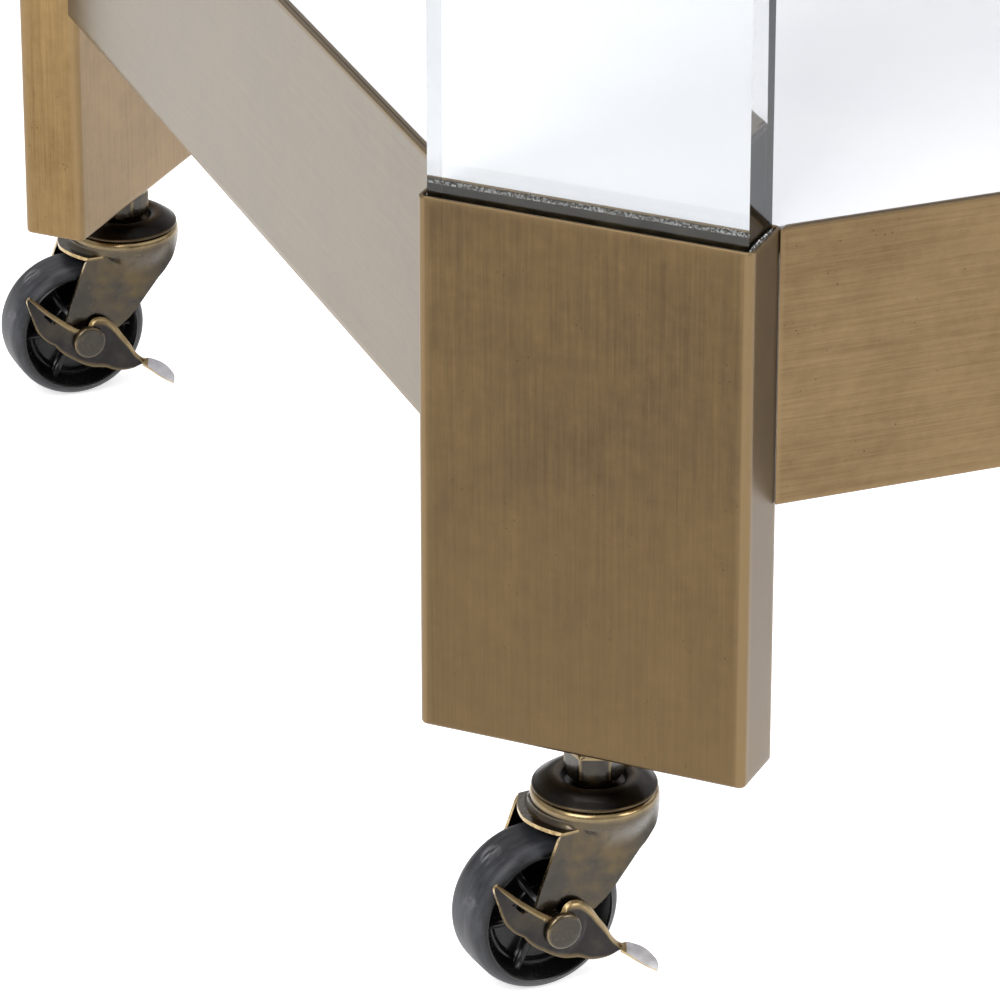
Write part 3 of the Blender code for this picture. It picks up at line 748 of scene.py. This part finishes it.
def axle_mesh():
    """Rivet about Y, with a flat domed head over the brake lever and a smaller head behind."""
    head = [(0.0, 20.7), (3.4, 20.65), (4.9, 20.5), (5.5, 20.3), (5.85, 19.9), (6.0, 19.2), (6.0, 18.4),
            (5.7, 18.0)]
    shank = [(4.0, 18.0), (4.0, 16.0), (4.7, 16.0), (4.7, 15.1), (4.0, 15.1), (4.0, -15.1), (5.2, -15.1)]
    tail = [(5.4, -15.5), (5.1, -16.4), (4.0, -17.0), (2.4, -17.3), (0.0, -17.4)]
    profile = [(r * MM, y * MM) for r, y in head + shank + tail]

    def wear_and_highlight(radius, height):
        return 0.3 * smooth_step(1 - abs(radius - 5.8 * MM) / (0.5 * MM)) if height > 0 else 0.0
    mesh = lathe("axle", profile, 72, "Y", wear_and_highlight=wear_and_highlight)
    dent = Vector((2.4 * MM, -1.8 * MM))
    for vert in mesh.vertices:
        if vert.co.y > 20 * MM:
            spot = (vert.co.xz - dent).length
            vert.co.y -= 0.35 * MM * smooth_step(1 - spot / (1.3 * MM))
    return mesh


LEVER_FACE = 17.7           # outer face of the brake lever's plate along the axle, in mm
BOSS_RADIUS, BOSS_RISE = 9.2, 0.8       # embossing round the axle, in mm
FOLD_LINE = (               # x, z, y of the fold and width, rise of the flange over it, in mm
    (22.2, 19.9, 0.0, 0.7, 0.6), (19.1, 16.6, 0.0, 1.1, 1.0), (15.1, 12.6, 0.0, 1.2, 1.1),
    (10.4, 8.5, 0.0, 1.2, 1.1), (6.3, 5.2, 0.0, 1.2, 1.1), (3.4, 3.5, 0.0, 1.2, 0.9),
    (1.2, 2.9, 0.0, 1.2, 0.7), (-0.7, 4.1, 0.0, 1.2, 0.7), (-1.9, 6.4, 0.0, 1.2, 0.7),
    (-4.1, 7.4, 0.0, 1.2, 0.8), (-7.1, 6.4, 0.0, 1.2, 0.9), (-10.0, 3.3, 0.0, 1.2, 1.1),
    (-12.6, -0.7, 0.0, 1.2, 1.1), (-15.3, -4.7, 0.0, 1.2, 1.1), (-17.6, -8.9, 0.0, 1.2, 1.1),
    (-20.7, -12.6, 0.3, 2.2, 1.5), (-22.8, -14.3, 1.3, 3.4, 2.8), (-25.8, -16.7, 3.3, 4.0, 3.8),
    (-27.9, -18.1, 4.8, 4.0, 3.7), (-29.2, -18.8, 5.5, 3.5, 3.2), (-30.0, -19.2, 5.9, 2.8, 2.6),
    (-30.5, -19.5, 6.1, 1.9, 1.8))
PLATE_STATIONS = 16         # fold line points above the plate; the rest belong to the foot tab
LOWER_EDGE = ((22.7, 19.0), (22.6, 17.7), (20.9, 12.1), (19.1, 6.4), (15.6, 2.0), (12.5, -0.2),
              (11.8, -1.4), (9.1, -4.3), (5.6, -6.9), (1.5, -9.6), (-2.0, -11.1), (-6.6, -12.0),
              (-10.1, -13.7), (-13.6, -14.3), (-17.1, -14.2), (-20.0, -13.3), (-21.0, -13.0))
SLOT_COLUMNS, SLOT_ROWS = (8, 12), (4, 6)     # faces of the grid left open as the slot


def resampled(line, count):
    """That many points at equal spacing along a polyline."""
    lengths = [0.0]
    for start, end in zip(line, line[1:]):
        lengths.append(lengths[-1] + (end - start).length)
    points, k = [], 0
    for i in range(count):
        target = lengths[-1] * i / (count - 1)
        while k < len(line) - 2 and lengths[k + 1] < target:
            k += 1
        share = (target - lengths[k]) / max(lengths[k + 1] - lengths[k], 1e-9)
        points.append(line[k].lerp(line[k + 1], share))
    return points


def lever_mesh():
    """Outer face of the brake lever as a grid: a plate embossed round the axle, with a flange folded
    over its upper edge that runs on past the front as the foot tab."""
    steps, across = 4, 10
    fold = spline([(x, z, y) for x, z, y, _, _ in FOLD_LINE], steps)
    flange = spline([(width, rise) for *_, width, rise in FOLD_LINE], steps)
    plate_end = (PLATE_STATIONS - 1) * steps
    lower = resampled(spline(LOWER_EDGE, 6), plate_end + 1)
    bm = bmesh.new()
    layer = bm.verts.layers.float.new("wear_and_highlight")
    rings = []
    for k, (point, (width, rise)) in enumerate(zip(fold, flange)):
        x, z, y = point
        before, after = fold[max(k - 1, 0)], fold[min(k + 1, len(fold) - 1)]
        along = (after - before).xy.normalized()
        up = Vector((along.y, -along.x))
        on_tab = k > plate_end
        ring = []
        # the flange faces up: its bright strip is a painted highlight
        for share in (1.0, 0.6, 0.2):
            place = Vector((x, z)) + up * rise * share ** 0.8
            ring.append(((place.x, y - width * share, place.y), 0.7 if on_tab else 0.95))
        ring.append(((x, y, z), 0.9))
        if not on_tab:
            for i in range(1, across + 1):
                place = Vector((x, z)).lerp(lower[k], i / across)
                boss = BOSS_RISE * smooth_step((BOSS_RADIUS - place.length) / 1.6)
                ring.append(((place.x, y * (1 - i / across) + boss - 0.5 * min(i, 2) / 2, place.y),
                             0.4 if i == across else 0.0))
        verts = []
        for (px, py, pz), wear_and_highlight in ring:
            vert = bm.verts.new((px * MM, (LEVER_FACE + py) * MM, pz * MM))
            vert[layer] = wear_and_highlight
            verts.append(vert)
        rings.append(verts)
    for k, (ring, after) in enumerate(zip(rings, rings[1:])):
        for i in range(min(len(ring), len(after)) - 1):
            if k in range(*SLOT_COLUMNS) and i in range(*SLOT_ROWS):
                continue        # open, for the slot
            face = bm.faces.new((ring[i], ring[i + 1], after[i + 1], after[i]))
            face.material_index = 2 if k > plate_end + 2 else 0     # the tab's top, in light grey steel
    bmesh.ops.delete(bm, geom=[v for v in bm.verts if not v.link_faces], context="VERTS")
    bm.normal_update()
    if sum(f.normal.y for f in bm.faces) < 0:
        bmesh.ops.reverse_faces(bm, faces=bm.faces)
    return written(bm, "brake_lever", sharp=60)


# edges of the fork's legs seen from the side, in the caster's own frame, as x, z in mm
TRAILING_EDGE = ((19.5, -20.0), (20.9, -23.1), (23.2, -30.0), (26.6, -39.5), (28.9, -47.0))
LEADING_EDGE = ((-19.2, -17.8), (-13.1, -25.8), (-10.3, -29.8), (-8.0, -32.1), (-2.2, -39.4),
                (0.1, -42.3), (3.5, -46.0), (8.0, -49.4))
EYE_RADIUS = 8.8            # the leg's round end about the axle
LEG_FACE = 14.8             # outer faces of the legs along the axle
CUP_RADIUS = 20.0
CUP_FOOT = -17.6            # level where the cup's wall starts to turn outward
HOOD_LEVEL = -20.3          # the top plate behind the cup
SIDE_LEVEL, LEAD_LEVEL = -30.5, -26.2   # where the cup runs into the flat leg, at the side and in front
# plan angles, in degrees from the trailing side: end of the top plate's rear edge, its fold into the
# leg, and the leg's leading edge
REAR_ANGLE, CREASE_ANGLE, LEAD_ANGLE = 37.0, 50.0, 130.0


def crossing(line, level):
    """Where a falling polyline of (x, z) points crosses a level, as x."""
    for (x0, z0), (x1, z1) in zip(line, line[1:]):
        if z1 <= level <= z0:
            return blend_between(x0, x1, (level - z0) / (z1 - z0))
    return line[0][0] if level > line[0][1] else line[-1][0]


def leg_span(level):
    """The leg's trailing and leading x at a level, both in mm."""
    axle_x, axle_z = AXLE.x / MM, AXLE.z / MM
    drop = level - axle_z
    trail, lead = crossing(TRAILING_EDGE, level), crossing(LEADING_EDGE, level)
    if level < TRAILING_EDGE[-1][1]:
        trail = axle_x + sqrt(max(EYE_RADIUS ** 2 - drop ** 2, 4.0))
    if level < LEADING_EDGE[-1][1]:
        eye = axle_x - sqrt(max(EYE_RADIUS ** 2 - drop ** 2, 4.0))
        lead = max(lead, eye) if drop > -2 else eye
    return trail, lead


def hood_edge(angle):
    """Rear free edge of the fork's top plate in plan, at a plan angle, in mm."""
    reach = 24.6 - 0.9 * sin(radians(angle) * 2.2)
    return Vector((reach * cos(radians(angle)), reach * sin(radians(angle))))


def fork_column(angle, share):
    """Points (x, y, z, mark) in mm from the cup's rim down to the free edge, at one plan angle. The mark
    paints the highlight band under the cover's rim and the bright line along the hood's fold and edge.
    share is 0 at the leg's trailing edge and 1 at its leading edge."""
    direction = Vector((cos(radians(angle)), sin(radians(angle))))
    # last number: painted highlight band on the cup's shoulder under the cover's rim
    cup = [(CUP_RADIUS - 2.2, -15.0, 0.3), (CUP_RADIUS - 1.2, -15.2, 0.5), (CUP_RADIUS - 0.5, -15.7, 0.65),
           (CUP_RADIUS - 0.1, -16.5, 0.45), (CUP_RADIUS, CUP_FOOT, 0.2)]
    points = [(direction.x * r, direction.y * r, z, wear_and_highlight) for r, z, wear_and_highlight in cup]
    turn_rows, leg_rows = 14, 34
    start = direction * CUP_RADIUS
    if angle <= CREASE_ANGLE - 0.01:
        if angle <= REAR_ANGLE:
            end = hood_edge(angle)
        else:
            end = Vector((LEG_FACE / tan(radians(angle)), LEG_FACE))
        for k in range(1, turn_rows + 1):
            part = k / turn_rows
            plan = start.lerp(end, max(0.0, (part - 0.25) / 0.75) ** 0.9)
            fall = blend_between(CUP_FOOT, HOOD_LEVEL, smooth_step(part / 0.5))
            # painted highlight along the hood's edge and its fold into the leg
            points.append((plan.x, plan.y, fall, 0.75 if k == turn_rows else 0.05))
        top = HOOD_LEVEL
    else:
        top = blend_between(HOOD_LEVEL, SIDE_LEVEL, smooth_step((angle - CREASE_ANGLE) / 30))
        top = blend_between(top, LEAD_LEVEL, smooth_step((angle - 98) / 32))
        if angle > LEAD_ANGLE:              # the cup's lower edge follows the line of the leg
            (x0, z0), (x1, z1) = LEADING_EDGE[:2]
            top = min(-17.7, z0 - (start.x - x0) * ((z0 - z1) / (x1 - x0)) - 0.05)
        far = smooth_step((angle - CREASE_ANGLE) / 16)       # away from the hood's own bend
        for k in range(1, turn_rows + 1):
            part = k / turn_rows
            level = blend_between(CUP_FOOT, top, blend_between(smooth_step(part / 0.5), part, far))
            inward = blend_between(max(0.0, (part - 0.25) / 0.75) ** 0.9, smooth_step(part), far)
            y = blend_between(start.y, LEG_FACE, inward) if angle <= LEAD_ANGLE else start.y
            points.append((start.x, y, level, 0.10 * (1 - part)))
    if angle <= REAR_ANGLE - 0.01 or angle > LEAD_ANGLE:
        return points
    x_top = points[-1][0]
    trail, lead = leg_span(top)
    share_top = (trail - x_top) / (trail - lead)
    bottom = AXLE.z / MM - EYE_RADIUS + 0.25
    for k in range(1, leg_rows + 1):
        part = k / leg_rows
        level = blend_between(top, bottom, part)
        trail, lead = leg_span(level)
        along = blend_between(share_top, share, smooth_step(part * 2.0))
        points.append((blend_between(trail, lead, along), LEG_FACE, level, 0.0))
    return points


def fork_mesh():
    """Pressed fork as one sheet: bearing cup, rear top plate folded into two raked legs."""
    rear = [REAR_ANGLE * i / 10 for i in range(10)]
    side = [REAR_ANGLE + (CREASE_ANGLE - REAR_ANGLE) * i / 8 for i in range(8)]
    leg = [CREASE_ANGLE + (LEAD_ANGLE - CREASE_ANGLE) * i / 24 for i in range(25)]
    front = [LEAD_ANGLE + (180 - LEAD_ANGLE) * i / 12 for i in range(1, 13)]
    angles = rear + side + leg + front
    first, last = len(rear), len(rear) + len(side) + len(leg) - 1
    bm = bmesh.new()
    layer = bm.verts.layers.float.new("wear_and_highlight")
    for mirror in (1, -1):
        columns = []
        for i, angle in enumerate(angles):
            share = (i - first) / (last - first)
            column = []
            for x, y, z, wear_and_highlight in fork_column(angle, share):
                vert = bm.verts.new((x * MM, mirror * y * MM, z * MM))
                vert[layer] = wear_and_highlight
                column.append(vert)
            columns.append(column)
        for column, after in zip(columns, columns[1:]):
            for i in range(min(len(column), len(after)) - 1):
                bm.faces.new((column[i], column[i + 1], after[i + 1], after[i]))
    bmesh.ops.remove_doubles(bm, verts=bm.verts, dist=2e-6)
    bmesh.ops.recalc_face_normals(bm, faces=bm.faces)
    if sum(f.normal.xy.dot(f.calc_center_median().xy) for f in bm.faces) < 0:
        bmesh.ops.reverse_faces(bm, faces=bm.faces)
    return written(bm, "fork", sharp=50)


def cup_floor_mesh():
    """Floor of the bearing cup, inside the fork's sheet."""
    profile = [(5.3, -20.5), (16.0, -20.5), (17.2, -19.6), (17.8, -18.6), (18.2, -18.6), (18.4, -20.4),
               (17.6, -21.6), (15.6, -22.2), (5.3, -22.2)]
    return lathe("cup_floor", [(r * MM, z * MM) for r, z in profile], 96)


def add_sheet(obj, thickness):
    """Give a grid its sheet thickness, inward, with cut edges in the second material."""
    solid = obj.modifiers.new("sheet", "SOLIDIFY")
    solid.thickness = thickness
    solid.offset = -1.0
    solid.use_quality_normals = True
    solid.material_offset_rim = 1
    add_bevel(obj, thickness * 0.16, segments=2, angle=50)


def build_casters():
    """Four casters, each from the same seven meshes."""
    meshes = {"stem": stem_mesh(), "bearing_cover": cover_mesh(), "axle": axle_mesh(),
              "wheel": wheel_mesh(), "brake_lever": lever_mesh(), "fork": fork_mesh(),
              "cup_floor": cup_floor_mesh()}
    for corner in CORNERS:
        place = caster_place(corner)
        on_axle = place @ Matrix.Translation(AXLE)
        caster, brake = f"caster_{corner}", f"brake_{corner}"
        add_piece(f"stem_turned_{corner}", meshes["stem"], FRAME_BODY,
                  (f"stem_{corner}",), place, (BRONZE,))
        add_piece(f"bearing_cover_pressed_{corner}", meshes["bearing_cover"], FRAME_BODY,
                  (f"bearing_cover_{corner}",), place, (COVER_BRONZE_PAINTED_SHADE,))
        fork = add_piece(f"fork_pressed_{corner}", meshes["fork"], caster,
                         (f"fork_{corner}",), place, (BRONZE, EDGE))
        add_sheet(fork, FORK_SHEET)
        add_piece(f"fork_cup_floor_{corner}", meshes["cup_floor"], caster, (), place,
                  (BRONZE,))
        add_piece(f"axle_riveted_{corner}", meshes["axle"], caster,
                  (f"axle_{corner}",), on_axle, (BRONZE,))
        add_piece(f"wheel_moulded_{corner}", meshes["wheel"], f"wheel_{corner}",
                  (f"wheel_{corner}",), on_axle, (PLASTIC,))
        lever = add_piece(f"brake_lever_pressed_{corner}", meshes["brake_lever"], brake,
                          (f"brake_lever_{corner}",), on_axle, (LEVER_BRONZE, EDGE, LIGHT_GREY_STEEL, EDGE))
        add_sheet(lever, LEVER_SHEET)


# ---------------------------------------------------------------- stage, light and camera
FLOOR_GLOW = 0.62
WORLD_LIGHT = 0.62
AIM = (-0.3, -0.1, 0.2)                 # what the softboxes point at
LENS = 241.2                            # focal length in mm on a 36 mm sensor
CAMERA_OFFSET = Vector((-0.674635, -1.681712, 0.952516))    # from the front left sleeve's bottom
CAMERA_PITCH, CAMERA_HEADING = radians(90 - 25.6719), radians(-20.9428)


def build_stage():
    """Pale floor that stays white under the cart."""
    tree = Tree("floor_white", Base_Color=srgb(235, 235, 235), Roughness=0.9)
    tree.shader.inputs["Emission Color"].default_value = (1, 1, 1, 1)
    tree.shader.inputs["Emission Strength"].default_value = FLOOR_GLOW
    bm = bmesh.new()
    bmesh.ops.create_grid(bm, x_segments=2, y_segments=2, size=8.0)
    mesh = bpy.data.meshes.new("floor")
    bm.to_mesh(mesh)
    bm.free()
    floor = bpy.data.objects.new("floor", mesh)
    mesh.materials.append(tree.material)
    floor.location.z = cad_low.z
    bpy.context.scene.collection.objects.link(floor)


def add_softbox(name, place, side, watts):
    """A square area light at a place, aimed at the cart."""
    light = bpy.data.lights.new(name, "AREA")
    light.shape = "SQUARE"
    light.size = side
    light.energy = watts
    obj = bpy.data.objects.new(name, light)
    obj.location = place
    obj.rotation_euler = (Vector(AIM) - Vector(place)).to_track_quat("-Z", "Y").to_euler()
    bpy.context.scene.collection.objects.link(obj)


def build_light():
    """Even white surroundings and three softboxes."""
    world = bpy.data.worlds.new("studio")
    bpy.context.scene.world = world
    world.use_nodes = True
    background = world.node_tree.nodes["Background"]
    background.inputs["Color"].default_value = (1.0, 1.0, 1.0, 1.0)
    background.inputs["Strength"].default_value = WORLD_LIGHT
    add_softbox("key", (-2.2, -1.6, 2.4), 1.8, 60)
    add_softbox("fill", (1.8, -2.6, 1.8), 1.6, 44)
    add_softbox("top", (0.0, 0.6, 3.2), 2.5, 60)


def build_camera():
    """Long lens from the front left, close on the lower front left corner."""
    corner, _ = turned_box("lower_sleeve_front_left", sleeve_turn("front_left"))
    data = bpy.data.cameras.new("camera")
    data.sensor_width = 36.0
    data.lens = LENS
    data.clip_start, data.clip_end = 0.1, 50.0
    camera = bpy.data.objects.new("camera", data)
    camera.location = Vector((corner.x, corner.y, BASE)) + CAMERA_OFFSET
    camera.rotation_euler = (CAMERA_PITCH, 0.0, CAMERA_HEADING)
    bpy.context.scene.collection.objects.link(camera)
    bpy.context.scene.camera = camera


build_sleeves()
build_rails()
finish_cad_nodes()
build_casters()
build_stage()
build_light()
build_camera()
bpy.context.scene.view_settings.view_transform = "Standard"
